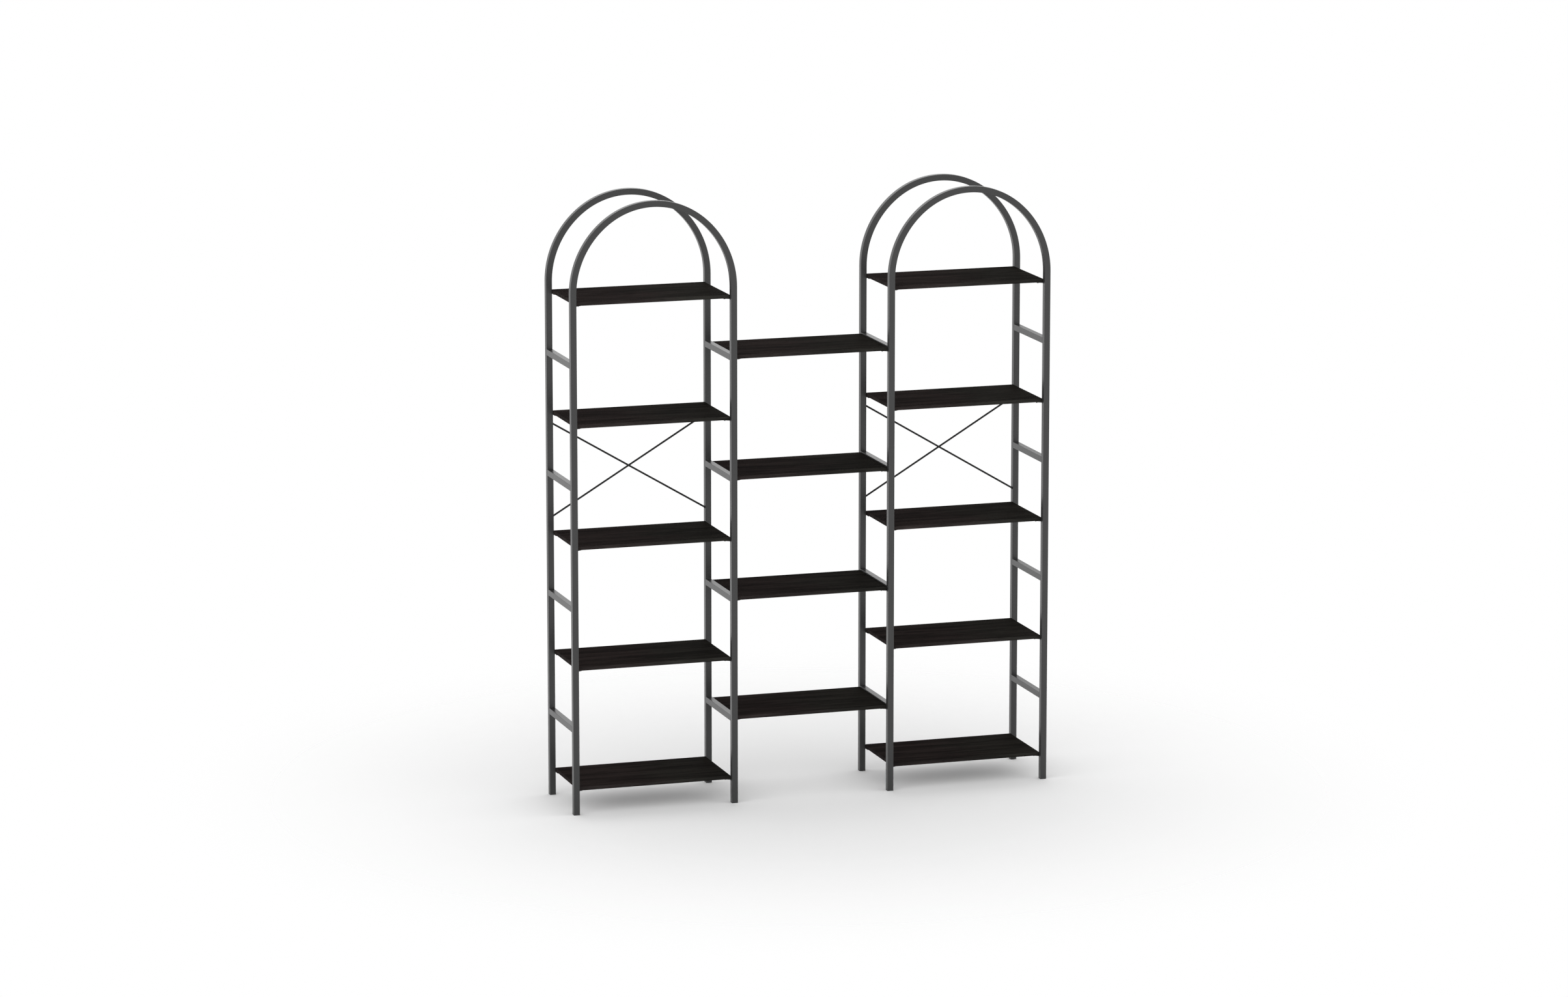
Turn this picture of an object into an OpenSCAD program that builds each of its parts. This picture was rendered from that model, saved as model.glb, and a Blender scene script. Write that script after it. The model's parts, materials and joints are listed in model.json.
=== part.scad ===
// Arched bookshelf: two arched towers of square steel tube, joined by a middle bay of shelves.
// Millimetres, +Z up, front towards -Y. The origin is on the floor at the middle of the whole object's box.

/* [Bays] */
// Clear width between legs, the same inside each tower and between the towers
bay_w = 517; // [420:1:640]
// Height of the lowest tower shelf's top above the floor
first_shelf = 90; // [70:1:160]
// Rise from one tower shelf to the next
shelf_pitch = 398; // [300:1:450]
// Height of the arches' spring above the top tower shelf
spring_above = 26; // [10:1:80]

/* [Frame tube] */
// Depth over the front and back legs
frame_d = 310; // [250:1:400]
// Side of the square tube of legs and arches
tube = 20; // [16:0.5:30]
// Wall of that tube
tube_wall = 1.2; // [0.8:0.1:2]
// Outer corner radius of all tube
corner_r = 1; // [0.6:0.1:2.5]
// Side of the square tube of the rungs
rung = 20; // [16:0.5:30]
// Wall of the rungs' tube
rung_wall = 1.2; // [0.8:0.1:2]

/* [Arch] */
// How much higher the arch rises than a half circle as wide
arch_lift = 13.5; // [4:0.5:30]
// Straight tail of the arch tube below the spring line
arch_tail = 78; // [60:1:120]

/* [Shelves] */
// Thickness of a shelf
shelf_t = 12; // [9:0.5:25]
// Depth of a shelf, front to back
shelf_d = 280; // [230:1:300]
// Gap between a shelf's end and the leg
end_gap = 0.5; // [0.2:0.1:2]

/* [Shelf tabs] */
// Thickness of a shelf tab
tab_t = 2; // [1.5:0.5:4]
// Reach of a tab from the leg into the bay
tab_reach = 25; // [20:1:40]
// Distance from a leg's outer face to the start of the tab
tab_inset = 9; // [6:0.5:14]
// Depth of a tab under the shelf, from the shelf's front or back edge
tab_d = 27; // [24:1:50]

/* [Shelf screws] */
// Shank diameter of a shelf screw
shelf_screw_d = 3.5; // [3:0.5:5]
// Depth that a shelf screw reaches into the shelf
shelf_screw_bite = 9; // [6:0.5:9]
// Head diameter of a shelf screw
shelf_screw_head_d = 7.5; // [6:0.5:10]
// Head height of a shelf screw
shelf_screw_head_h = 2; // [1.5:0.5:3]

/* [Joiners] */
// Length of a joiner, half in the leg and half in the arch tail
joiner_l = 80; // [60:1:100]
// Wall of a joiner
joiner_wall = 2; // [1.5:0.5:3]
// Gap between a joiner and the tube around it
joiner_gap = 0.2; // [0.1:0.1:0.5]
// Thread diameter of a joiner screw
joiner_screw_d = 5; // [4:0.5:6]
// Length of a joiner screw under its head
joiner_screw_l = 6; // [4:0.5:10]

/* [Braces] */
// Diameter of a brace rod
rod_d = 6; // [4:0.5:7]
// Rise of a rod from the face of one leg to the face of the other
brace_rise = 308; // [200:1:330]
// Tower bay that is braced, counted from the floor
braced_bay = 3; // [1:1:4]
// Height of the crossing above the middle of its bay
brace_lift = 1; // [-20:1:20]
// Gap between the two crossed rods
rod_gap = 0.2; // [0.1:0.1:1]
// Reach of a rod's end behind the leg's face, inside the leg
rod_in = 8; // [4:0.5:10]

/* [Foot caps] */
// Thickness of a foot cap's sole under the leg
sole_t = 2; // [1:0.5:5]
// Height of a foot cap's plug inside the leg
plug_h = 16; // [8:1:30]
// Wall of a foot cap's plug
plug_wall = 2; // [1.5:0.5:3]
// Gap between the plug and the tube around it
plug_gap = 0.1; // [0.1:0.1:0.4]

/* [Fits] */
// Clearance round a screw or rod end in a plate or tube wall, on the diameter
hole_clear = 0.5; // [0.2:0.1:1]
// Clearance round a screw's thread in what it screws into, on the diameter
thread_clear = 0.1; // [0.05:0.05:0.2]

/* [Hidden] */
tower_shelves = 5;
mid_shelves = tower_shelves - 1;
tower_x = bay_w + tube;
leg_off = bay_w / 2 + tube / 2;

// Head and hex socket of a joiner screw. Only its head stands behind the frame.
button_h = 2.8;
button_d = 9;
button_face_d = 5.4;
socket_d = 3.5;
socket_h = 1.7;
front_y = -(frame_d + button_h) / 2;
back_y = front_y + frame_d;
mid_y = (front_y + back_y) / 2;
leg_ys = [front_y + tube / 2, back_y - tube / 2];

// Chords in each rounded corner of a tube, and the least corner radius in its bore.
corner_steps = 4;
least_bore_r = 0.4;
// How much rounder a joiner's or plug's corners are than those of the bore round it.
loose_corner = 0.4;

// Heights, built up from the floor.
top_shelf = first_shelf + (tower_shelves - 1) * shelf_pitch;
spring_z = top_shelf + spring_above;
seam_z = spring_z - arch_tail;
function tower_shelf_z(i) = first_shelf + (i - 1) * shelf_pitch;
function mid_shelf_z(i) = first_shelf + (i - 0.5) * shelf_pitch;
function rung_z(i) = mid_shelf_z(i) - shelf_t / 2;

// Each arch is three arcs: two flanks centred past the tower's middle, and a tighter crown.
// Their centres lie on lines that rise 4 for each 3 to the side, which are 5 long.
meet_side = 3;
meet_rise = 4;
meet_slope = 5;
// The arcs' radii and centres keep to 64ths of a millimetre, so that their cut faces meet exactly.
arch_steps = 64;
function on_arch_grid(v) = round(v * arch_steps) / arch_steps;
arch_off = on_arch_grid(leg_off);
arch_unit = on_arch_grid(arch_lift / (meet_side + meet_rise - meet_slope));
flank_offset = meet_side * arch_unit;
crown_up = meet_rise * arch_unit;
flank_r = arch_off + flank_offset;
crown_r = flank_r - meet_slope * arch_unit;

// Shelf tab, measured inwards from the leg's side and from the leg's outer face.
// Its front edge runs back under the shelf, so that little of it shows.
// The screw stands a little behind the tab's middle.
shelf_setback = (frame_d - shelf_d) / 2;
tab_nose = 4;
tab_slant = 14;
tab_end = shelf_setback + tab_d;
tab_screw_share = 0.55;
screw_ease = 1.5;
tab_screw_in = tab_reach * tab_screw_share;
tab_screw_back = shelf_setback + tab_d / 2 + screw_ease;

// Face, cross recess and point of a shelf screw.
shelf_screw_face_d = shelf_screw_head_d * 0.7;
recess_l = shelf_screw_head_d * 0.5;
recess_w = 0.8;
recess_h = 1;
wood_tip = 3;
wood_tip_d = 0.6;

// The two rods of a brace lie either side of the back legs' centre plane.
// The front one falls towards +X and the rear one rises.
rod_off_y = (rod_d + rod_gap) / 2;
brace_mid_z = tower_shelf_z(braced_bay) + shelf_pitch / 2 + brace_lift;
brace_tilt = atan(brace_rise / bay_w);
rod_l = (bay_w + 2 * rod_in) / cos(brace_tilt);

frame_grey = [0.25, 0.25, 0.255];
brace_black = [0.15, 0.15, 0.15];
shelf_black = [0.12, 0.11, 0.11];
screw_black = [0.16, 0.16, 0.165];
zinc = [0.62, 0.63, 0.65];
plastic_black = [0.07, 0.07, 0.075];
eps = 0.01;

// Outline of a centred square with rounded corners, each corner in a few short chords.
function corner_centre(side, r, q) = (side / 2 - r) * sqrt(2) * [cos(90 * q + 45), sin(90 * q + 45)];
function soft_outline(side, r) =
    [for (q = [0 : 3], k = [0 : corner_steps])
        corner_centre(side, r, q) + r * [cos(90 * (q + k / corner_steps)), sin(90 * (q + k / corner_steps))]];

function bore_r(wall) = max(corner_r - wall, least_bore_r);

// A square with rounded corners, centred.
module soft_square(side, r) {
    polygon(soft_outline(side, r));
}

// Section of a square tube, hollow, or its bore alone.
module tube_outside(side) {
    soft_square(side, corner_r);
}

module tube_inside(side, wall) {
    soft_square(side - 2 * wall, bore_r(wall));
}

// Straight tube along +Z from z = 0.
module straight_tube(side, wall, length) {
    difference() {
        linear_extrude(height = length) tube_outside(side);
        translate([0, 0, -eps]) linear_extrude(height = length + 2 * eps) tube_inside(side, wall);
    }
}

// A front leg on side s of the tower at x, and a back leg, which also has holes for two rod ends.
module front_leg(x, s) {
    color(frame_grey) bare_leg(x + s * leg_off, leg_ys[0]);
}

module back_leg(x, s) {
    color(frame_grey)
        difference() {
            bare_leg(x + s * leg_off, leg_ys[1]);
            for (rod = [-1, 1])
                at_rod_end(x, s, rod)
                    translate([0, 0, -tube / 2]) cylinder(d = rod_d + hole_clear, h = tube, $fn = 32);
        }
}

// A leg's tube, with the hole for its joiner screw.
module bare_leg(x, y) {
    difference() {
        translate([x, y, sole_t]) straight_tube(tube, tube_wall, seam_z - sole_t);
        joiner_hole(x, y, seam_z - joiner_l / 4);
    }
}

// Where a rod's axis enters the face of the leg on side s of the tower at x, with +Z along the rod.
// The front rod is rod -1, which falls towards +X, and the rear one is rod 1.
module at_rod_end(x, s, rod) {
    translate([x + s * bay_w / 2, leg_ys[1] + rod * rod_off_y, brace_mid_z + rod * s * brace_rise / 2])
        rotate([0, 90 - rod * brace_tilt, 0]) children();
}

// A round hole through the rear wall of a leg or arch at height z.
module rear_hole(x, y, z, d) {
    translate([x, y + tube / 4, z]) rotate([-90, 0, 0]) cylinder(d = d, h = tube / 2, $fn = 32);
}

module joiner_hole(x, y, z) {
    rear_hole(x, y, z, joiner_screw_d + hole_clear);
}

// Section of the frame's tube.
module frame_section() {
    difference() {
        tube_outside(tube);
        tube_inside(tube, tube_wall);
    }
}

// A piece of the XZ plane with these corners, thick enough to take in the whole tube.
module arch_sector(corners) {
    translate([0, tube, 0]) rotate([90, 0, 0]) linear_extrude(height = 2 * tube) polygon(corners);
}

// Half a turn of frame tube in the XZ plane, above its centre at x, z.
module tube_arc(x, z, r) {
    translate([x, 0, z]) rotate([90, 0, 0])
        rotate_extrude(angle = 180, $fn = 180) translate([r, 0]) frame_section();
}

// One bent arch tube over the tower at x, in the front or back plane at y: tails, flanks and crown.
// A flank and the crown meet on the line through both their centres, so the bend is smooth there.
module arch(x, y) {
    far = 2 * arch_off;
    meet = [far * meet_side / meet_rise - flank_offset, far];
    color(frame_grey)
        difference() {
            translate([x, y, spring_z]) {
                for (s = [-1, 1])
                    translate([s * arch_off, 0, -arch_tail])
                        linear_extrude(height = arch_tail) frame_section();
                for (s = [-1, 1])
                    intersection() {
                        tube_arc(-s * flank_offset, 0, flank_r);
                        arch_sector([[-s * flank_offset, 0], [s * far, 0], [s * far, far],
                                     [s * meet[0], meet[1]]]);
                    }
                intersection() {
                    tube_arc(0, crown_up, crown_r);
                    arch_sector([[0, crown_up], meet, [-meet[0], meet[1]]]);
                }
            }
            for (s = [-1, 1]) joiner_hole(x + s * leg_off, y, seam_z + joiner_l / 4);
        }
}

// A rung between the front and the back leg at x.
module rung_bar(x, i) {
    color(frame_grey)
        translate([x, front_y + tube, rung_z(i)])
            rotate([-90, 0, 0]) straight_tube(rung, rung_wall, frame_d - 2 * tube);
}

// The four places of tabs and screws under a shelf, as signs in X and Y.
module at_tabs(x, top_z) {
    for (sx = [-1, 1], sy = [-1, 1])
        translate([x + sx * bay_w / 2, mid_y + sy * frame_d / 2, top_z - shelf_t])
            scale_signs(sx, sy) children();
}

// Turns a corner piece, drawn with +X into the bay and +Y away from the leg's outer face, to its corner.
module scale_signs(sx, sy) {
    mirror([sx > 0 ? 1 : 0, 0, 0]) mirror([0, sy > 0 ? 1 : 0, 0]) children();
}

module shelf(x, top_z) {
    color(shelf_black)
        difference() {
            translate([x - bay_w / 2 + end_gap, mid_y - shelf_d / 2, top_z - shelf_t])
                cube([bay_w - 2 * end_gap, shelf_d, shelf_t]);
            at_tabs(x, top_z)
                translate([tab_screw_in, tab_screw_back, -eps])
                    cylinder(d = shelf_screw_d + thread_clear,
                             h = shelf_screw_bite + thread_clear + eps, $fn = 24);
        }
}

// A flat tab welded to the leg's side under the shelf's corner.
module shelf_tab() {
    translate([0, 0, -tab_t])
        difference() {
            linear_extrude(height = tab_t)
                polygon([[0, tab_inset], [tab_nose, shelf_setback], [tab_reach, shelf_setback + tab_slant],
                         [tab_reach, tab_end], [0, tab_end]]);
            translate([tab_screw_in, tab_screw_back, -eps])
                cylinder(d = shelf_screw_d + hole_clear, h = tab_t + 2 * eps, $fn = 24);
        }
}

// A pan-headed wood screw that points up, with its head under the tab.
module shelf_screw() {
    translate([tab_screw_in, tab_screw_back, -tab_t]) {
        difference() {
            translate([0, 0, -shelf_screw_head_h])
                cylinder(d1 = shelf_screw_face_d, d2 = shelf_screw_head_d,
                         h = shelf_screw_head_h, $fn = 32);
            translate([0, 0, -shelf_screw_head_h - eps])
                for (a = [0, 90]) rotate([0, 0, a])
                    translate([-recess_l / 2, -recess_w / 2, 0]) cube([recess_l, recess_w, recess_h]);
        }
        cylinder(d = shelf_screw_d, h = tab_t + shelf_screw_bite - wood_tip, $fn = 24);
        translate([0, 0, tab_t + shelf_screw_bite - wood_tip])
            cylinder(d1 = shelf_screw_d, d2 = wood_tip_d, h = wood_tip, $fn = 24);
    }
}

module tower_tabs(x) {
    color(frame_grey)
        for (i = [1 : tower_shelves]) at_tabs(x, tower_shelf_z(i)) shelf_tab();
}

module tower_screws(x) {
    color(screw_black)
        for (i = [1 : tower_shelves]) at_tabs(x, tower_shelf_z(i)) shelf_screw();
}

// A short square insert inside the leg's top and the arch's tail, tapped for its two screws.
module joiner() {
    side = tube - 2 * tube_wall - 2 * joiner_gap;
    difference() {
        translate([0, 0, -joiner_l / 2])
            difference() {
                linear_extrude(height = joiner_l) soft_square(side, bore_r(tube_wall) + loose_corner);
                translate([0, 0, -eps])
                    linear_extrude(height = joiner_l + 2 * eps)
                        square(side - 2 * joiner_wall, center = true);
            }
        for (s = [-1, 1])
            rear_hole(0, 0, s * joiner_l / 4, joiner_screw_d + thread_clear);
    }
}

// A button-headed screw that points along -Y from the plane y = 0, with a hex socket.
module button_screw(d, length) {
    rotate([90, 0, 0]) {
        cylinder(d = d, h = length, $fn = 32);
        difference() {
            translate([0, 0, -button_h])
                cylinder(d1 = button_face_d, d2 = button_d, h = button_h, $fn = 32);
            translate([0, 0, -button_h - eps]) cylinder(d = socket_d, h = socket_h, $fn = 6);
        }
    }
}

module at_seams() {
    for (t = [-1, 1], s = [-1, 1], y = leg_ys)
        translate([t * tower_x + s * leg_off, y, seam_z]) children();
}

// One rod of the brace in the tower at x. Its ends pass through slanted holes in the legs' inner walls.
module brace(x, rod) {
    color(brace_black)
        translate([x, leg_ys[1] + rod * rod_off_y, brace_mid_z])
            rotate([0, 90 - rod * brace_tilt, 0]) cylinder(d = rod_d, h = rod_l, center = true, $fn = 24);
}

// A plastic plug in the bottom of a leg, with a sole as wide as the tube.
module foot_cap() {
    side = tube - 2 * tube_wall - 2 * plug_gap;
    linear_extrude(height = sole_t) soft_square(tube, corner_r);
    translate([0, 0, sole_t])
        difference() {
            linear_extrude(height = plug_h) soft_square(side, bore_r(tube_wall) + loose_corner);
            linear_extrude(height = plug_h + eps) square(side - 2 * plug_wall, center = true);
        }
}

module left_front_outer_leg() { front_leg(-tower_x, -1); }
module left_back_outer_leg() { back_leg(-tower_x, -1); }
module left_front_inner_leg() { front_leg(-tower_x, 1); }
module left_back_inner_leg() { back_leg(-tower_x, 1); }
module right_front_inner_leg() { front_leg(tower_x, -1); }
module right_back_inner_leg() { back_leg(tower_x, -1); }
module right_front_outer_leg() { front_leg(tower_x, 1); }
module right_back_outer_leg() { back_leg(tower_x, 1); }

module left_front_arch() { arch(-tower_x, leg_ys[0]); }
module left_back_arch() { arch(-tower_x, leg_ys[1]); }
module right_front_arch() { arch(tower_x, leg_ys[0]); }
module right_back_arch() { arch(tower_x, leg_ys[1]); }

module left_outer_rung(i) { rung_bar(-tower_x - leg_off, i); }
module left_inner_rung(i) { rung_bar(-tower_x + leg_off, i); }
module right_inner_rung(i) { rung_bar(tower_x - leg_off, i); }
module right_outer_rung(i) { rung_bar(tower_x + leg_off, i); }

module left_shelf(i) { shelf(-tower_x, tower_shelf_z(i)); }
module middle_shelf(i) { shelf(0, mid_shelf_z(i)); }
module right_shelf(i) { shelf(tower_x, tower_shelf_z(i)); }

module left_brace_near() { brace(-tower_x, -1); }
module left_brace_far() { brace(-tower_x, 1); }
module right_brace_near() { brace(tower_x, -1); }
module right_brace_far() { brace(tower_x, 1); }

module left_shelf_tabs() { tower_tabs(-tower_x); }
module right_shelf_tabs() { tower_tabs(tower_x); }
module middle_shelf_tabs() {
    color(frame_grey) for (i = [1 : mid_shelves]) at_tabs(0, mid_shelf_z(i)) shelf_tab();
}

module left_shelf_screws() { tower_screws(-tower_x); }
module right_shelf_screws() { tower_screws(tower_x); }
module middle_shelf_screws() {
    color(screw_black) for (i = [1 : mid_shelves]) at_tabs(0, mid_shelf_z(i)) shelf_screw();
}

module arch_joiners() { color(zinc) at_seams() joiner(); }
module joiner_screws() {
    color(screw_black)
        at_seams()
            for (s = [-1, 1])
                translate([0, tube / 2, s * joiner_l / 4]) button_screw(joiner_screw_d, joiner_screw_l);
}
module foot_caps() {
    color(plastic_black)
        for (t = [-1, 1], s = [-1, 1], y = leg_ys) translate([t * tower_x + s * leg_off, y, 0]) foot_cap();
}

left_front_outer_leg();
left_back_outer_leg();
left_front_inner_leg();
left_back_inner_leg();
right_front_inner_leg();
right_back_inner_leg();
right_front_outer_leg();
right_back_outer_leg();
left_front_arch();
left_back_arch();
right_front_arch();
right_back_arch();
left_outer_rung(1);  // left_outer_rung_1
left_outer_rung(2);  // left_outer_rung_2
left_outer_rung(3);  // left_outer_rung_3
left_outer_rung(4);  // left_outer_rung_4
left_inner_rung(1);  // left_inner_rung_1
left_inner_rung(2);  // left_inner_rung_2
left_inner_rung(3);  // left_inner_rung_3
left_inner_rung(4);  // left_inner_rung_4
right_inner_rung(1);  // right_inner_rung_1
right_inner_rung(2);  // right_inner_rung_2
right_inner_rung(3);  // right_inner_rung_3
right_inner_rung(4);  // right_inner_rung_4
right_outer_rung(1);  // right_outer_rung_1
right_outer_rung(2);  // right_outer_rung_2
right_outer_rung(3);  // right_outer_rung_3
right_outer_rung(4);  // right_outer_rung_4
left_shelf(1);  // left_shelf_1
left_shelf(2);  // left_shelf_2
left_shelf(3);  // left_shelf_3
left_shelf(4);  // left_shelf_4
left_shelf(5);  // left_shelf_5
middle_shelf(1);  // middle_shelf_1
middle_shelf(2);  // middle_shelf_2
middle_shelf(3);  // middle_shelf_3
middle_shelf(4);  // middle_shelf_4
right_shelf(1);  // right_shelf_1
right_shelf(2);  // right_shelf_2
right_shelf(3);  // right_shelf_3
right_shelf(4);  // right_shelf_4
right_shelf(5);  // right_shelf_5
left_brace_near();
left_brace_far();
right_brace_near();
right_brace_far();
left_shelf_tabs();
middle_shelf_tabs();
right_shelf_tabs();
left_shelf_screws();
middle_shelf_screws();
right_shelf_screws();
arch_joiners();
joiner_screws();
foot_caps();
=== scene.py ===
# Arched bookshelf: finishes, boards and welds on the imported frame, with a pale studio round it.
# Metres, +Z up, front towards -Y, as in the frame.

import json
import math

import bmesh
import bpy
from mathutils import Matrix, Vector

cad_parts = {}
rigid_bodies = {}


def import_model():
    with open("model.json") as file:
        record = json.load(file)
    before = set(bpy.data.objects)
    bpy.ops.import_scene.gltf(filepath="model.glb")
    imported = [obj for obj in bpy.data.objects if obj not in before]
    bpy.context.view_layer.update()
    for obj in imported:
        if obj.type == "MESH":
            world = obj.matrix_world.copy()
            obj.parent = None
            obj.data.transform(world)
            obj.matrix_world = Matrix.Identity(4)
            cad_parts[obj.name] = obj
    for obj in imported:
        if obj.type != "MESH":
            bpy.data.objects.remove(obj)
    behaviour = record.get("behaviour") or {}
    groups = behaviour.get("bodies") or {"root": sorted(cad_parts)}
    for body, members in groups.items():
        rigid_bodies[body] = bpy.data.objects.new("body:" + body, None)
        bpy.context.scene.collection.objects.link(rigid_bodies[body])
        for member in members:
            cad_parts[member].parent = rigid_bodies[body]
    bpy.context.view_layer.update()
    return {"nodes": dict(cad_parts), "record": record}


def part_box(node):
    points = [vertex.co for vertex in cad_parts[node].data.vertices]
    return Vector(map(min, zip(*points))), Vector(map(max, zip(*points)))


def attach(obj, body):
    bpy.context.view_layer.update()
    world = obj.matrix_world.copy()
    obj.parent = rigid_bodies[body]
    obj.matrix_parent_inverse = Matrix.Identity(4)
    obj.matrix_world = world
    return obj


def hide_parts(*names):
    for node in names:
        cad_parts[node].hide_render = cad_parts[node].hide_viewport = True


for leftover in list(bpy.data.objects):
    bpy.data.objects.remove(leftover)

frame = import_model()
NODES = frame["nodes"]

MM = 0.001

# The photograph's camera, found from the edges of the legs, boards and arches
CAMERA_PLACE = (-5.788, -17.898, 4.679)
CAMERA_YAW = 17.7745
CAMERA_PITCH = 11.154
LENS = 134.27
SENSOR = 36.0

# The boards' edge band: thickness, corners seen from above, rounding of its long edges,
# and the fine chamfer where it meets the foil
BAND_T = 1.0 * MM
BAND_CORNER_R = 1.2 * MM
BAND_ROUND = 0.7 * MM
SEAM = 0.15 * MM

# The tabs under the boards, and the pilot holes for their screws. SCREW_IN runs from the leg's side
# to the screw, SCREW_BACK from the board's long edge
TAB_T = 2 * MM
TAB_REACH = 25 * MM
END_GAP = 0.5 * MM
PILOT_R = 1.8 * MM
PILOT_DEPTH = 9.1 * MM
PILOT_SIDES = 24
SCREW_IN = 0.55 * TAB_REACH
SCREW_BACK = 15 * MM

# The weld beads and the ripples along them. A bead's middle stands LEG_BITE off the leg
# and RUNG_BITE off the rung's faces
BEAD_R = 1.2 * MM
BEAD_STEP = 0.6 * MM
BEAD_SIDES = 8
RIPPLE_PITCH = 2.3 * MM
RIPPLE_DEPTH = 0.13
LEG_BITE = BEAD_R / 3
RUNG_BITE = BEAD_R / 4
RUNG_BEAD_CORNER = 2 * MM
TAB_WELD_L = 8.4 * MM
TAB_WELD_START = 1.5 * MM
ROD_R = 3 * MM
ROD_BEAD_STEPS = 36

# Rounded corners: the four in the order in which a loop meets them, and the points of each
CORNERS = [(1, 1), (-1, 1), (-1, -1), (1, -1)]
CORNER_STEPS = 5

# Smoothing: corners closer than this are joined, and edges sharper than this stay sharp
JOIN_WITHIN = 0.002 * MM
SHARP_FROM = math.radians(32)

# The studio: the room's light and what it gains towards the horizon, the fading floor, and the lamps
# with their places and watts
ROOM_LIGHT = 0.49
HORIZON_LIGHT = 2.5
FLOOR_R = 2.2
FLOOR_SIDES = 96
FADE_FROM = 0.8
FLOOR_SHOWN = 1.0
FLOOR_COLOUR = 0.8
LAMP_SIZE = 5.0
LAMP_AIM = (0.0, 0.0, 1.0)
LAMPS = {
    "key": ((-8.0, -4.5, 3.5), 80.0),
    "fill": ((7.0, -5.0, 4.0), 25.0),
    "back": ((1.0, 8.0, 5.0), 40.0),
}


class Field:
    """A socket that takes part in sums: an expression on fields adds its Math nodes."""

    def __init__(self, finish, socket):
        self.finish = finish
        self.socket = socket

    def __add__(self, other):
        return self.finish.maths("ADD", self, other)

    def __sub__(self, other):
        return self.finish.maths("SUBTRACT", self, other)

    def __rsub__(self, other):
        return self.finish.maths("SUBTRACT", other, self)

    def __mul__(self, other):
        return self.finish.maths("MULTIPLY", self, other)

    def __pow__(self, other):
        return self.finish.maths("POWER", self, other)

    __radd__ = __add__
    __rmul__ = __mul__


class Finish:
    """One material, or the world, and its node tree."""

    def __init__(self, name, kind=bpy.data.materials):
        self.made = kind.new(name)
        self.made.use_nodes = True
        self.tree = self.made.node_tree
        self.tree.nodes.clear()

    def add(self, kind, settings=None, inputs=None, output=0):
        """Adds a node: its settings first, then its sockets' values or links.

        Gives the output of that name or place.
        """
        node = self.tree.nodes.new(kind)
        for name, value in (settings or {}).items():
            if name == "stops":
                self.set_stops(node.color_ramp, value)
            else:
                setattr(node, name, value)
        sockets = {s.identifier: s for s in node.inputs}
        for name, value in (inputs or {}).items():
            if isinstance(value, Field):
                self.tree.links.new(value.socket, sockets[name])
            else:
                sockets[name].default_value = value
        return Field(self, node.outputs[output]) if node.outputs else None

    def maths(self, operation, first, second=0.0):
        """A sum of numbers or fields."""
        return self.add("ShaderNodeMath", {"operation": operation}, {"Value": first, "Value_001": second})

    def set_stops(self, ramp, stops):
        """Gives a colour ramp its (place, grey) stops."""
        while len(ramp.elements) < len(stops):
            ramp.elements.new(1.0)
        for element, (place, grey) in zip(ramp.elements, stops):
            element.position = place
            element.color = (grey, grey, grey, 1.0)

    def place(self, stretch=(1.0, 1.0, 1.0)):
        """The point on the object in metres, each axis multiplied by its stretch."""
        point = self.add("ShaderNodeTexCoord", output="Object")
        inputs = {"Vector": point, "Vector_001": stretch}
        return self.add("ShaderNodeVectorMath", {"operation": "MULTIPLY"}, inputs)

    def rays(self, *kinds):
        """1 for the rays of these kinds and 0 for all others."""
        return sum(self.add("ShaderNodeLightPath", output=f"Is {kind} Ray") for kind in kinds)

    def noise(self, point, scale, detail=2.0, roughness=0.5, distortion=0.0):
        """Noise of this scale at a point, from 0 to 1."""
        inputs = {"Vector": point, "Scale": scale, "Detail": detail}
        inputs.update({"Roughness": roughness, "Distortion": distortion})
        return self.add("ShaderNodeTexNoise", {"noise_dimensions": "3D"}, inputs)

    def ramp(self, value, stops):
        """A value led through (place, grey) stops."""
        return self.add("ShaderNodeValToRGB", {"stops": stops}, {"Fac": value})

    def blend(self, factor, first, second):
        """A colour between first and second."""
        inputs = {"Factor_Float": factor, "A_Color": first, "B_Color": second}
        return self.add("ShaderNodeMix", {"data_type": "RGBA"}, inputs, output=2)

    def bump(self, height, depth, strength=1.0):
        """Fine relief from a height of 0 to 1 that stands for this depth in metres."""
        return self.add("ShaderNodeBump", None, {"Height": height, "Distance": depth, "Strength": strength})

    def surface(self, **sockets):
        """Finishes the material with one Principled shader."""
        inputs = {name.replace("_", " "): value for name, value in sockets.items()}
        shader = self.add("ShaderNodeBsdfPrincipled", None, inputs)
        self.add("ShaderNodeOutputMaterial", None, {"Surface": shader})
        return self.made


def colour(red, green, blue):
    """A linear colour."""
    return (red, green, blue, 1.0)


def grey(level):
    """A linear grey."""
    return colour(level, level, level)


def powder_coat():
    """Satin charcoal powder coat: fine orange peel, a little unevenness in tone and gloss."""
    finish = Finish("charcoal_powder_coat")
    point = finish.place()
    cloud = finish.noise(point, 9.0, detail=3.0)
    peel = finish.noise(point, 420.0, detail=2.0, roughness=0.45)
    speck = finish.noise(point, 2600.0, detail=1.0)
    tone = finish.blend(cloud * 0.7 + speck * 0.3, grey(0.0205), grey(0.0285))
    height = peel * 0.75 + speck * 0.25
    return finish.surface(
        Base_Color=tone,
        Roughness=0.26 + cloud * 0.06 + speck * 0.05,
        Normal=finish.bump(height, 0.00006, 0.5),
        IOR=1.45,
    )


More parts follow.
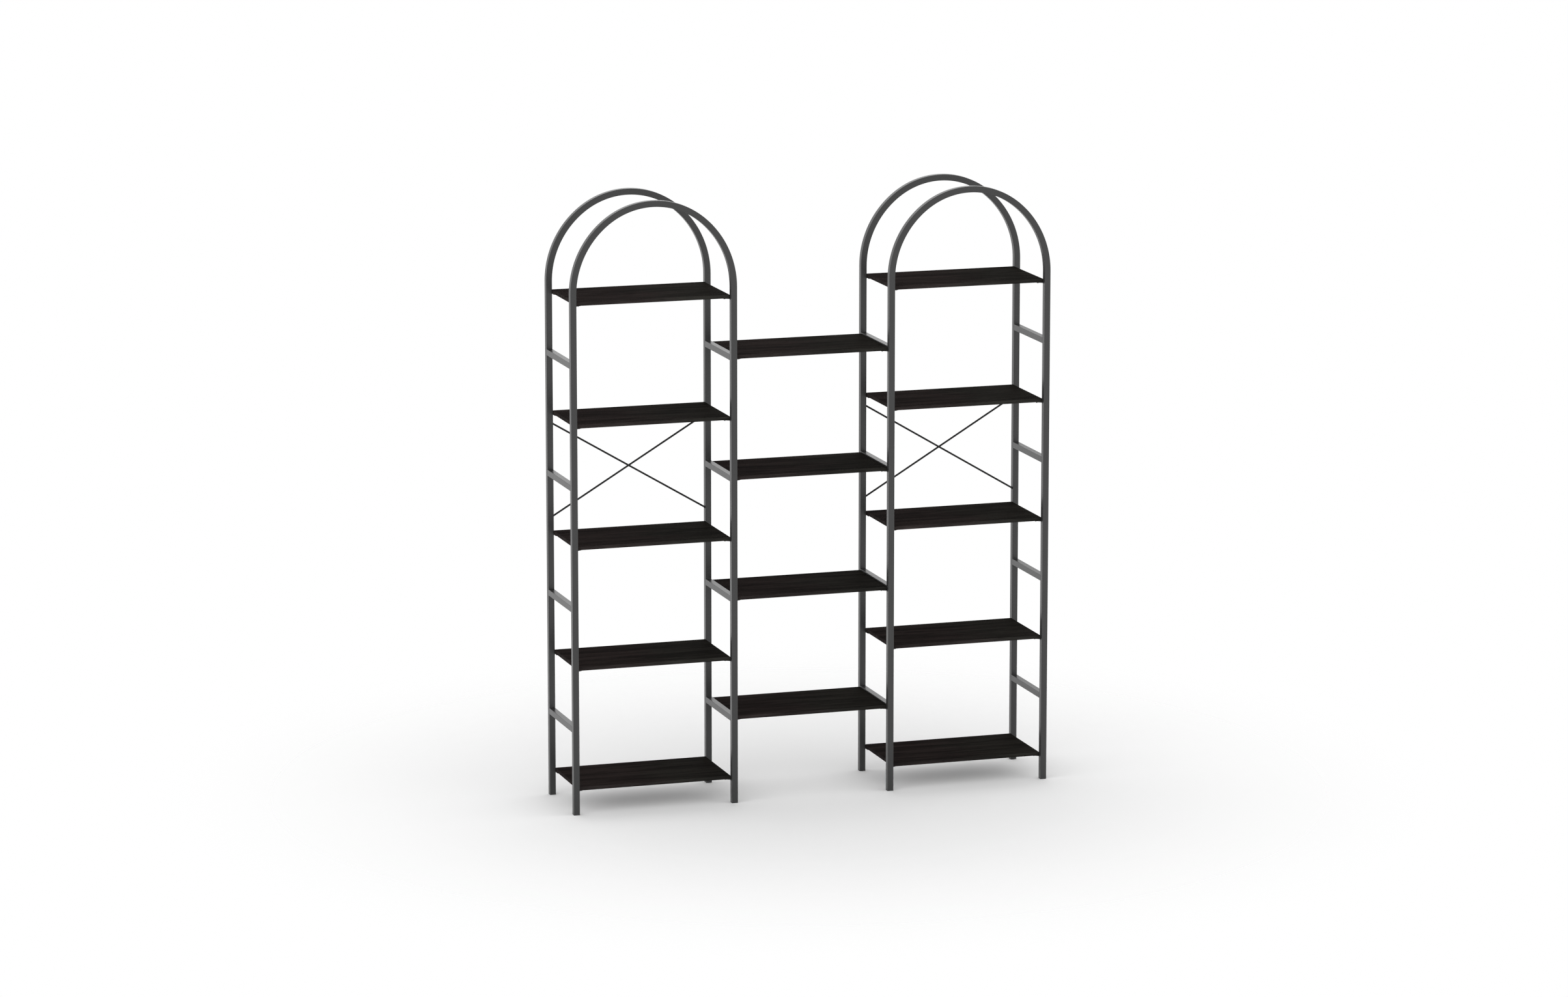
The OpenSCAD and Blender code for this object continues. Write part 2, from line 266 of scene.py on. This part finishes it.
def grain(finish):
    """Masks of the printed wood grain along X: broad streaks, fine fibres, open pores, and a drift of hue.

    The print runs from brown at a board's left end to olive at its right.
    """
    in_box = finish.add("ShaderNodeTexCoord", output="Generated")
    along = finish.add("ShaderNodeSeparateXYZ", None, {"Vector": in_box}, output="X")
    drift = finish.noise(finish.place((2.0, 6.0, 6.0)), 2.0, detail=3.0, roughness=0.6)
    broad = finish.noise(finish.place((1.6, 15.0, 15.0)), 2.0, detail=4.0, roughness=0.6, distortion=0.5)
    figure = finish.noise(finish.place((4.0, 60.0, 60.0)), 2.0, detail=3.0, roughness=0.6, distortion=0.4)
    fibre = finish.noise(finish.place((9.0, 420.0, 420.0)), 2.0, detail=3.0, roughness=0.6)
    pore = finish.noise(finish.place((26.0, 900.0, 900.0)), 2.0, detail=1.0)
    streak = finish.ramp(broad * 0.6 + figure * 0.4, [(0.41, 0.0), (0.50, 0.5), (0.58, 1.0)])
    fine = finish.ramp(fibre, [(0.35, 0.0), (0.65, 1.0)])
    pit = finish.ramp(pore, [(0.60, 0.0), (0.68, 1.0)])
    hue = finish.ramp(along + drift * 0.8 - 0.4, [(0.38, 0.0), (0.70, 1.0)])
    return streak, fine, pit, hue


def wood_foil(name, brown, olive, dark_share, height_depth):
    """Black wood-grain foil between brown and olive. A dark streak has this share of the light ones' colour."""
    finish = Finish(name)
    streak, fine, pit, hue = grain(finish)
    light = finish.blend(hue, colour(*brown), colour(*olive))
    dark_brown, dark_olive = (colour(*(c * dark_share for c in tone)) for tone in (brown, olive))
    dark = finish.blend(hue, dark_brown, dark_olive)
    body = finish.blend(streak, dark, light)
    fibres = finish.blend(fine * 0.35, body, grey(0.006))
    tone = finish.blend(pit * 0.6, fibres, grey(0.004))
    height = fine * 0.4 - pit * 0.8 + streak * 0.3
    return finish.surface(
        Base_Color=tone,
        Roughness=0.7 + pit * 0.2 - streak * 0.06,
        Normal=finish.bump(height, height_depth, 0.6),
        Specular_IOR_Level=0.002,
    )


def wood_laminate():
    """The foil on the boards' faces."""
    return wood_foil("black_wood_laminate", (0.0230, 0.0158, 0.0144), (0.0196, 0.0173, 0.0144), 0.38, 0.00008)


def edge_band():
    """The band round the boards' edges: the same print, a shade paler and smoother."""
    return wood_foil("black_edge_band", (0.0272, 0.0222, 0.0210), (0.0236, 0.0224, 0.0198), 0.55, 0.00003)


def brace_coat():
    """Thin matt black coat on the brace rods, rubbed along their length."""
    finish = Finish("matt_black_coat")
    point = finish.place()
    cloud = finish.noise(point, 40.0, detail=2.0)
    speck = finish.noise(point, 2200.0, detail=1.0)
    return finish.surface(
        Base_Color=finish.blend(cloud, grey(0.018), grey(0.026)),
        Roughness=0.6 + speck * 0.15,
        Normal=finish.bump(speck, 0.00004, 0.5),
        Specular_IOR_Level=0.05,
    )


def foot_plastic():
    """Matt black moulding with a spark-eroded texture."""
    finish = Finish("black_foot_plastic")
    point = finish.place()
    grain = finish.noise(point, 1800.0, detail=2.0)
    cloud = finish.noise(point, 60.0)
    return finish.surface(
        Base_Color=finish.blend(cloud, grey(0.016), grey(0.023)),
        Roughness=0.55 + grain * 0.15,
        Normal=finish.bump(grain, 0.00005, 0.6),
        Specular_IOR_Level=0.4,
    )


def black_zinc():
    """Black zinc plating on the screws, rubbed a little paler in patches."""
    finish = Finish("black_zinc_plate")
    point = finish.place()
    rub = finish.noise(point, 700.0, detail=3.0)
    cloud = finish.noise(point, 130.0)
    return finish.surface(
        Base_Color=finish.blend(cloud * 0.6 + rub * 0.4, grey(0.03), colour(0.073, 0.070, 0.068)),
        Metallic=0.85,
        Roughness=0.32 + rub * 0.15,
        Normal=finish.bump(rub, 0.00002, 0.4),
    )


def bright_zinc():
    """Bright zinc plate on the joiners inside the tubes, with faint spangle."""
    finish = Finish("bright_zinc_plate")
    point = finish.place()
    spangle = finish.noise(point, 260.0, detail=3.0)
    line = finish.noise(finish.place((900.0, 900.0, 60.0)), 1.0)
    return finish.surface(
        Base_Color=finish.blend(spangle, colour(0.50, 0.51, 0.54), grey(0.62)),
        Metallic=1.0,
        Roughness=0.28 + spangle * 0.12,
        Normal=finish.bump(line, 0.00002, 0.4),
    )


FINISHES = {
    "frame_steel": powder_coat(),
    "brace_steel": brace_coat(),
    "shelf_board": wood_laminate(),
    "foot_plastic": foot_plastic(),
    "black_screw": black_zinc(),
    "zinc_steel": bright_zinc(),
}
EDGE_BAND = edge_band()


def camera():
    """The photograph's viewpoint."""
    data = bpy.data.cameras.new("camera")
    data.sensor_width = SENSOR
    data.lens = LENS
    data.clip_end = 200.0
    made = bpy.data.objects.new("camera", data)
    made.location = CAMERA_PLACE
    made.rotation_euler = (math.radians(90 - CAMERA_PITCH), 0.0, math.radians(-CAMERA_YAW))
    bpy.context.scene.collection.objects.link(made)
    bpy.context.scene.camera = made


def link(name, mesh):
    """Puts a finished mesh into the scene as a piece that rides on the frame."""
    piece = bpy.data.objects.new(name, mesh)
    bpy.context.scene.collection.objects.link(piece)
    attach(piece, "root")
    return piece


def smoothing_group():
    """Geometry nodes that join the split corners of a mesh and smooth all but its sharp edges."""
    group = bpy.data.node_groups.new("smooth_corners", "GeometryNodeTree")
    group.interface.new_socket("Geometry", in_out="INPUT", socket_type="NodeSocketGeometry")
    group.interface.new_socket("Geometry", in_out="OUTPUT", socket_type="NodeSocketGeometry")
    start = group.nodes.new("NodeGroupInput")
    joined = group.nodes.new("GeometryNodeMergeByDistance")
    joined.inputs["Distance"].default_value = JOIN_WITHIN
    plain = group.nodes.new("GeometryNodeRemoveAttribute")
    plain.inputs["Name"].default_value = "custom_normal"
    smooth = group.nodes.new("GeometryNodeSetShadeSmooth")
    angle = group.nodes.new("GeometryNodeInputMeshEdgeAngle")
    sharp = group.nodes.new("FunctionNodeCompare")
    sharp.data_type = "FLOAT"
    sharp.operation = "GREATER_THAN"
    sharp.inputs["B"].default_value = SHARP_FROM
    edges = group.nodes.new("GeometryNodeSetShadeSmooth")
    edges.domain = "EDGE"
    edges.inputs["Shade Smooth"].default_value = False
    end = group.nodes.new("NodeGroupOutput")
    chain = [start, joined, plain, smooth, edges, end]
    for first, second in zip(chain, chain[1:]):
        group.links.new(first.outputs[0], second.inputs[0])
    group.links.new(angle.outputs["Unsigned Angle"], sharp.inputs["A"])
    group.links.new(sharp.outputs[0], edges.inputs["Selection"])
    return group


SMOOTHING = smoothing_group()


def smooth(piece):
    """Smooth corners and flat faces that stay flat, with no change to the shape."""
    piece.modifiers.new("smooth_corners", "NODES").node_group = SMOOTHING
    weighting = piece.modifiers.new("flat_faces", "WEIGHTED_NORMAL")
    weighting.keep_sharp = True


def finish_cad_nodes():
    """Each CAD node that stays gets its slot's finish."""
    slots = {part["node"]: part["material_slot"] for part in frame["record"]["subparts"]}
    for name, node in NODES.items():
        node.data.materials.clear()
        node.data.materials.append(FINISHES[slots[name]])
        smooth(node)


def is_board(name):
    """Tells a shelf from a bay's tabs and screws, whose names don't end in a number."""
    return "_shelf_" in name and name[-1].isdigit()


def panel_mesh(low, high):
    """The board between its edge bands, with a fine chamfer at each seam."""
    mesh = bmesh.new()
    bmesh.ops.create_cube(mesh, size=1.0)
    inset = Vector((BAND_T, BAND_T, 0.0))
    low, high = low + inset, high - inset
    for vertex in mesh.verts:
        vertex.co = Vector(((high - low)[i] * (vertex.co[i] + 0.5) + low[i] for i in range(3)))
    bmesh.ops.bevel(mesh, geom=mesh.edges[:], offset=SEAM, segments=1, affect="EDGES")
    return mesh


def drill(piece, low, high):
    """Cuts the four pilot holes for the shelf screws into the underside."""
    cutter = bmesh.new()
    middle = (low + high) / 2
    reach = (high.x - low.x) / 2 + END_GAP - SCREW_IN
    back = (high.y - low.y) / 2 - SCREW_BACK
    for side in (-1, 1):
        for end in (-1, 1):
            size = {"segments": PILOT_SIDES, "radius1": PILOT_R, "radius2": PILOT_R, "depth": 2 * PILOT_DEPTH}
            pin = bmesh.ops.create_cone(cutter, cap_ends=True, **size)
            place = Vector((middle.x + side * reach, middle.y + end * back, low.z))
            bmesh.ops.translate(cutter, verts=pin["verts"], vec=place)
    data = bpy.data.meshes.new("pilot_holes")
    cutter.to_mesh(data)
    cutter.free()
    tool = bpy.data.objects.new("pilot_holes", data)
    bpy.context.scene.collection.objects.link(tool)
    cut = piece.modifiers.new("pilot_holes", "BOOLEAN")
    cut.object = tool
    cut.solver = "EXACT"
    bpy.context.view_layer.update()
    whole = piece.evaluated_get(bpy.context.evaluated_depsgraph_get())
    drilled = bpy.data.meshes.new_from_object(whole)
    piece.modifiers.clear()
    piece.data = drilled
    bpy.data.objects.remove(tool)


def quarter_turns(quarter):
    """The angles round one rounded corner, counted from the corner at +X and +Y."""
    return [math.radians(90 * quarter + 90 * step / (CORNER_STEPS - 1)) for step in range(CORNER_STEPS)]


def band_profile(height):
    """Section of the edge band as (outwards, up) points from its outer face and the underside."""
    points = [(-BAND_T, SEAM), (-BAND_T + SEAM, 0.0)]
    turns = [math.radians(t) for t in (-90, -60, -30, 0)]
    points += [(BAND_ROUND * (math.cos(t) - 1), BAND_ROUND * (math.sin(t) + 1)) for t in turns]
    return points + [(out, height - up) for out, up in reversed(points)]


def band_mesh(low, high):
    """One band round the board's four edges, with small round corners."""
    mesh = bmesh.new()
    profile = band_profile(high.z - low.z)
    rings = []
    for quarter, (side_x, side_y) in enumerate(CORNERS):
        x = high.x - BAND_CORNER_R if side_x > 0 else low.x + BAND_CORNER_R
        y = high.y - BAND_CORNER_R if side_y > 0 else low.y + BAND_CORNER_R
        for turn in quarter_turns(quarter):
            outwards = Vector((math.cos(turn), math.sin(turn), 0.0))
            ring = []
            for out, up in profile:
                place = Vector((x, y, low.z + up)) + outwards * (BAND_CORNER_R + out)
                ring.append(mesh.verts.new(place))
            rings.append(ring)
    sweep_faces(mesh, rings, closed=True)
    return mesh


def sweep_faces(mesh, rings, closed):
    """Skins a list of vertex rings. An open sweep gets end caps."""
    pairs = list(zip(rings, rings[1:]))
    if closed:
        pairs.append((rings[-1], rings[0]))
    for first, second in pairs:
        count = len(first)
        for i in range(count):
            j = (i + 1) % count
            mesh.faces.new((first[i], second[i], second[j], first[j]))
    if not closed:
        mesh.faces.new(rings[0])
        mesh.faces.new(reversed(rings[-1]))
    bmesh.ops.recalc_face_normals(mesh, faces=mesh.faces[:])


def to_data(mesh, name, material):
    """The finished mesh as Blender's data, in one material."""
    data = bpy.data.meshes.new(name)
    mesh.to_mesh(data)
    mesh.free()
    data.materials.append(material)
    return data


def dress_board(name):
    """A laminated panel and its edge band in place of a plain board."""
    low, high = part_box(name)
    panel_data = to_data(panel_mesh(low, high), name + "_panel", FINISHES["shelf_board"])
    panel = link(name + "_panel", panel_data)
    drill(panel, low, high)
    band_data = to_data(band_mesh(low, high), name + "_edge_band", EDGE_BAND)
    band = link(name + "_edge_band", band_data)
    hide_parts(name)
    smooth(panel)
    smooth(band)


def bead(mesh, path, closed):
    """Sweeps a rippled weld bead along a path of points."""
    rings = []
    count = len(path)
    travelled = 0.0
    for i, point in enumerate(path):
        after = path[(i + 1) % count] if closed or i + 1 < count else point
        before = path[i - 1] if closed or i else point
        along = (after - before).normalized()
        side = along.orthogonal().normalized()
        if rings:
            side = (previous - along * previous.dot(along)).normalized()
            travelled += (point - path[i - 1]).length
        previous = side
        other = along.cross(side)
        ripple = abs(math.sin(math.pi * travelled / RIPPLE_PITCH))
        radius = BEAD_R * (1 - RIPPLE_DEPTH * (1 - ripple))
        ring = []
        for k in range(BEAD_SIDES):
            turn = 2 * math.pi * k / BEAD_SIDES
            ring.append(mesh.verts.new(point + radius * (math.cos(turn) * side + math.sin(turn) * other)))
        rings.append(ring)
    sweep_faces(mesh, rings, closed)


def loop_path(centre, half_x, half_z, corner):
    """A rounded rectangle in the XZ plane, in steps of about one bead step."""
    points = []
    for quarter, (side_x, side_z) in enumerate(CORNERS):
        middle = Vector((side_x * (half_x - corner), 0.0, side_z * (half_z - corner)))
        for turn in quarter_turns(quarter):
            points.append(centre + middle + corner * Vector((math.cos(turn), 0.0, math.sin(turn))))
    fine = []
    for first, second in zip(points, points[1:] + points[:1]):
        steps = max(1, round((second - first).length / BEAD_STEP))
        fine += [first.lerp(second, k / steps) for k in range(steps)]
    return fine


def rung_welds(side):
    """A bead round both ends of each rung on one side of a tower, flush with the tubes' faces."""
    mesh = bmesh.new()
    for level in (1, 2, 3, 4):
        low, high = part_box(f"{side}_rung_{level}")
        middle = (low + high) / 2
        half = (high.x - low.x) / 2
        for y, away in ((low.y, 1), (high.y, -1)):
            centre = Vector((middle.x, y + away * LEG_BITE, middle.z))
            bead(mesh, loop_path(centre, half - BEAD_R, half + RUNG_BITE, RUNG_BEAD_CORNER), closed=True)
    name = side + "_rung_welds"
    smooth(link(name, to_data(mesh, name, FINISHES["frame_steel"])))


def tab_welds(bay, count):
    """A bead under each shelf tab where it meets the leg."""
    mesh = bmesh.new()
    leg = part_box("left_front_outer_leg")
    front, back = leg[0].y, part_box("left_back_outer_leg")[1].y
    tube = leg[1].x - leg[0].x
    for level in range(1, count + 1):
        low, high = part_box(f"{bay}_shelf_{level}")
        under = low.z - TAB_T
        for side_x, x in ((1, low.x - END_GAP), (-1, high.x + END_GAP)):
            for side_y, face in ((1, front + tube), (-1, back - tube)):
                start = Vector((x + side_x * LEG_BITE, face - side_y * TAB_WELD_START, under - LEG_BITE))
                run = Vector((0, -side_y * TAB_WELD_L, 0))
                steps = round(TAB_WELD_L / BEAD_STEP)
                bead(mesh, [start + run * k / steps for k in range(steps + 1)], closed=False)
    name = bay + "_tab_welds"
    smooth(link(name, to_data(mesh, name, FINISHES["frame_steel"])))


def rod_slope(rod):
    """Rise of a brace rod per metre along X, from its box, which its own thickness widens both ways."""
    low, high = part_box(rod)
    wide, tall = high.x - low.x, high.z - low.z
    lean = math.atan2(tall, wide)
    slope = (tall - 2 * ROD_R * math.cos(lean)) / (wide - 2 * ROD_R * math.sin(lean))
    return -slope if rod.endswith("near") else slope


def rod_welds(tower):
    """A bead round each brace rod where it enters a leg's face."""
    mesh = bmesh.new()
    left_leg, right_leg = ("outer", "inner") if tower == "left" else ("inner", "outer")
    faces = (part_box(f"{tower}_back_{left_leg}_leg")[1].x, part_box(f"{tower}_back_{right_leg}_leg")[0].x)
    for rod in (tower + "_brace_near", tower + "_brace_far"):
        low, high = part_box(rod)
        middle = (low + high) / 2
        slope = rod_slope(rod)
        for x in faces:
            centre = Vector((x, middle.y, middle.z + slope * (x - middle.x)))
            stretch = math.hypot(1.0, slope)
            path = []
            for step in range(ROD_BEAD_STEPS):
                turn = 2 * math.pi * step / ROD_BEAD_STEPS
                path.append(centre + ROD_R * Vector((0.0, math.cos(turn), stretch * math.sin(turn))))
            bead(mesh, path, closed=True)
    name = tower + "_rod_welds"
    smooth(link(name, to_data(mesh, name, FINISHES["brace_steel"])))


def floor():
    """A pale floor that fades into the room further out. It shows white to the camera and in reflections."""
    mesh = bmesh.new()
    bmesh.ops.create_circle(mesh, cap_ends=True, segments=FLOOR_SIDES, radius=FLOOR_R)
    finish = Finish("pale_floor")
    seen = finish.rays("Camera", "Glossy")
    shown = finish.add("ShaderNodeBsdfDiffuse", None, {"Color": grey(FLOOR_SHOWN)})
    lit = finish.add("ShaderNodeBsdfDiffuse", None, {"Color": grey(FLOOR_COLOUR)})
    laid = finish.add("ShaderNodeMixShader", None, {"Fac": seen, "Shader": lit, "Shader_001": shown})
    from_middle = {"Vector": finish.place()}
    out = finish.add("ShaderNodeVectorMath", {"operation": "LENGTH"}, from_middle, output="Value")
    fade = {"Value": out, "From Min": FADE_FROM, "From Max": FLOOR_R}
    gone = finish.add("ShaderNodeMapRange", {"interpolation_type": "SMOOTHSTEP"}, fade)
    clear = finish.add("ShaderNodeBsdfTransparent")
    mixed = finish.add("ShaderNodeMixShader", None, {"Fac": gone, "Shader": laid, "Shader_001": clear})
    finish.add("ShaderNodeOutputMaterial", None, {"Surface": mixed})
    plane = bpy.data.objects.new("floor", to_data(mesh, "floor", finish.made))
    bpy.context.scene.collection.objects.link(plane)


def lamp(name, place, watts):
    """A large soft lamp aimed at the middle of the bookshelf."""
    data = bpy.data.lights.new(name, "AREA")
    data.shape = "SQUARE"
    data.size = LAMP_SIZE
    data.energy = watts
    made = bpy.data.objects.new(name, data)
    made.location = place
    made.rotation_euler = (Vector(LAMP_AIM) - Vector(place)).to_track_quat("-Z", "Y").to_euler()
    bpy.context.scene.collection.objects.link(made)


def surroundings():
    """A pale room, brighter low down. It shows plain white behind the object and in its reflections."""
    room = Finish("pale_room", bpy.data.worlds)
    seen = room.rays("Camera", "Glossy", "Transmission")
    direction = room.add("ShaderNodeTexCoord", output="Generated")
    height = room.add("ShaderNodeSeparateXYZ", None, {"Vector": direction}, output="Z")
    low = (1 - room.maths("ABSOLUTE", height)) ** 2
    glow = {"Value": seen, "To Min": ROOM_LIGHT + low * HORIZON_LIGHT, "To Max": 1.0}
    strength = room.add("ShaderNodeMapRange", None, glow)
    shader = room.add("ShaderNodeBackground", None, {"Color": grey(1.0), "Strength": strength})
    room.add("ShaderNodeOutputWorld", None, {"Surface": shader})
    bpy.context.scene.world = room.made


camera()
finish_cad_nodes()
for board in filter(is_board, list(NODES)):
    dress_board(board)
for side in ("left_outer", "left_inner", "right_inner", "right_outer"):
    rung_welds(side)
for bay, count in (("left", 5), ("middle", 4), ("right", 5)):
    tab_welds(bay, count)
for tower in ("left", "right"):
    rod_welds(tower)
floor()
surroundings()
for name, (place, watts) in LAMPS.items():
    lamp(name, place, watts)

bpy.context.scene.view_settings.view_transform = "Standard"
